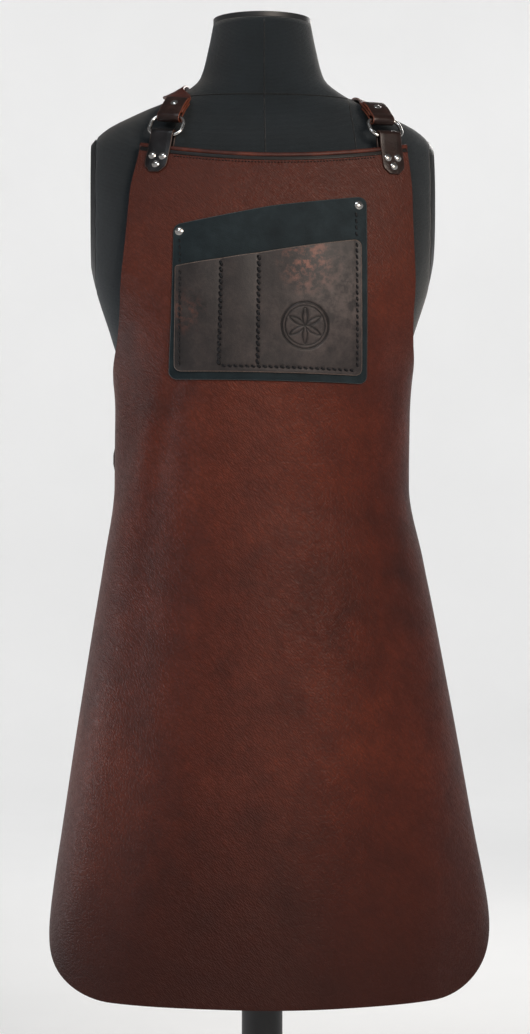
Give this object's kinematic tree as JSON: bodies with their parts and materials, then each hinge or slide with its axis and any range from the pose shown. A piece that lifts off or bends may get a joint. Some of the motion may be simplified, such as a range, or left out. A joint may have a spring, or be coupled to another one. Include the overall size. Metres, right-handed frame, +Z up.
{
  "type": "leather bib apron on a dress form",
  "caption": "Leather bib apron with cross-back straps, rings and a slotted chest pocket, worn by a black cloth dress form on a height-adjustable pole stand.",
  "frame": {"origin": "centre of the stand's underside, on the floor, on the pole's axis", "axes": "+Z up along the pole, -Y towards the apron's front, +X to the viewer's right when facing the apron"},
  "size_m": [0.4506, 0.3417, 1.4342],
  "materials": {
    "brown_leather": "satin",
    "tan_leather": "satin",
    "dark_leather": "satin",
    "black_leather": "satin",
    "worn_leather": "satin",
    "nickel": "polished",
    "steel": "satin",
    "black_cloth": "matte",
    "black_plastic": "satin",
    "black_metal": "satin",
    "rubber": "matte"
  },
  "bodies": {
    "stand": {"base_plate": "black_metal", "base_pad": "rubber", "lower_tube": "black_metal", "height_collar": "black_metal", "guide_bush": "black_plastic"},
    "clamp": {"clamp_knob": "black_plastic", "clamp_screw": "steel"},
    "mast": {"mast": "black_metal", "mast_plug": "black_plastic"},
    "form": {"torso_socket": "steel", "socket_screws": "steel", "dress_form": "black_cloth", "neck_cap": "black_plastic", "arm_plate_left": "black_plastic", "arm_plate_right": "black_plastic", "apron_panel": "brown_leather", "top_facing": "tan_leather", "pocket_back": "black_leather", "pocket_front": "worn_leather", "pocket_rivets": "nickel", "chest_tab_left": "dark_leather", "chest_tab_rivets_left": "nickel", "chest_loop_left": "dark_leather", "shoulder_strap_left": "tan_leather", "waist_tab_left": "dark_leather", "waist_loop_left": "dark_leather", "chest_tab_right": "dark_leather", "chest_tab_rivets_right": "nickel", "chest_loop_right": "dark_leather", "shoulder_strap_right": "tan_leather", "waist_tab_right": "dark_leather", "waist_loop_right": "dark_leather", "chest_loop_studs": "nickel", "waist_tab_rivets": "nickel", "waist_loop_studs": "nickel"},
    "chest_ring_left": {"chest_ring_left": "nickel"},
    "chest_ring_right": {"chest_ring_right": "nickel"},
    "waist_ring_left": {"waist_ring_left": "nickel"},
    "waist_ring_right": {"waist_ring_right": "nickel"},
    "keeper_left": {"strap_keeper_left": "dark_leather"},
    "keeper_right": {"strap_keeper_right": "dark_leather"}
  },
  "joints": [
    {"name": "clamp_turn", "type": "hinge", "parent": "stand", "child": "clamp", "pos_m": [0, 0.045, 0.449], "axis": [0, 1, 0], "range_deg": [0, 360]},
    {"name": "mast_height", "type": "slide", "parent": "stand", "child": "mast", "axis": [0, 0, 1], "range_m": [-0.15, 0.12]},
    {"name": "form_swivel", "type": "hinge", "parent": "mast", "child": "form", "pos_m": [0, 0, 0.72], "axis": [0, 0, 1], "continuous": true},
    {"name": "chest_ring_left_swing", "type": "hinge", "parent": "form", "child": "chest_ring_left", "pos_m": [-0.09995, -0.06941, 1.31225], "axis": [0.914, -0.3897, -0.1126], "range_deg": [-3.5, 3.5]},
    {"name": "chest_ring_right_swing", "type": "hinge", "parent": "form", "child": "chest_ring_right", "pos_m": [0.12264, -0.06715, 1.31164], "axis": [0.9229, 0.384, 0.0262], "range_deg": [-3.5, 3.5]},
    {"name": "waist_ring_left_swing", "type": "hinge", "parent": "form", "child": "waist_ring_left", "pos_m": [-0.14146, 0.05677, 1.00252], "axis": [-0.1293, -0.6565, 0.7431], "range_deg": [-3.5, 3.5]},
    {"name": "waist_ring_right_swing", "type": "hinge", "parent": "form", "child": "waist_ring_right", "pos_m": [0.14146, 0.05677, 1.00252], "axis": [-0.1293, 0.6565, -0.7431], "range_deg": [-3.5, 3.5]},
    {"name": "keeper_left_slide", "type": "slide", "parent": "form", "child": "keeper_left", "axis": [0.6273, 0.5384, 0.5627], "range_m": [-0.006, 0.004]},
    {"name": "keeper_right_slide", "type": "slide", "parent": "form", "child": "keeper_right", "axis": [-0.6301, 0.5396, 0.5585], "range_m": [-0.006, 0.004]}
  ]
}
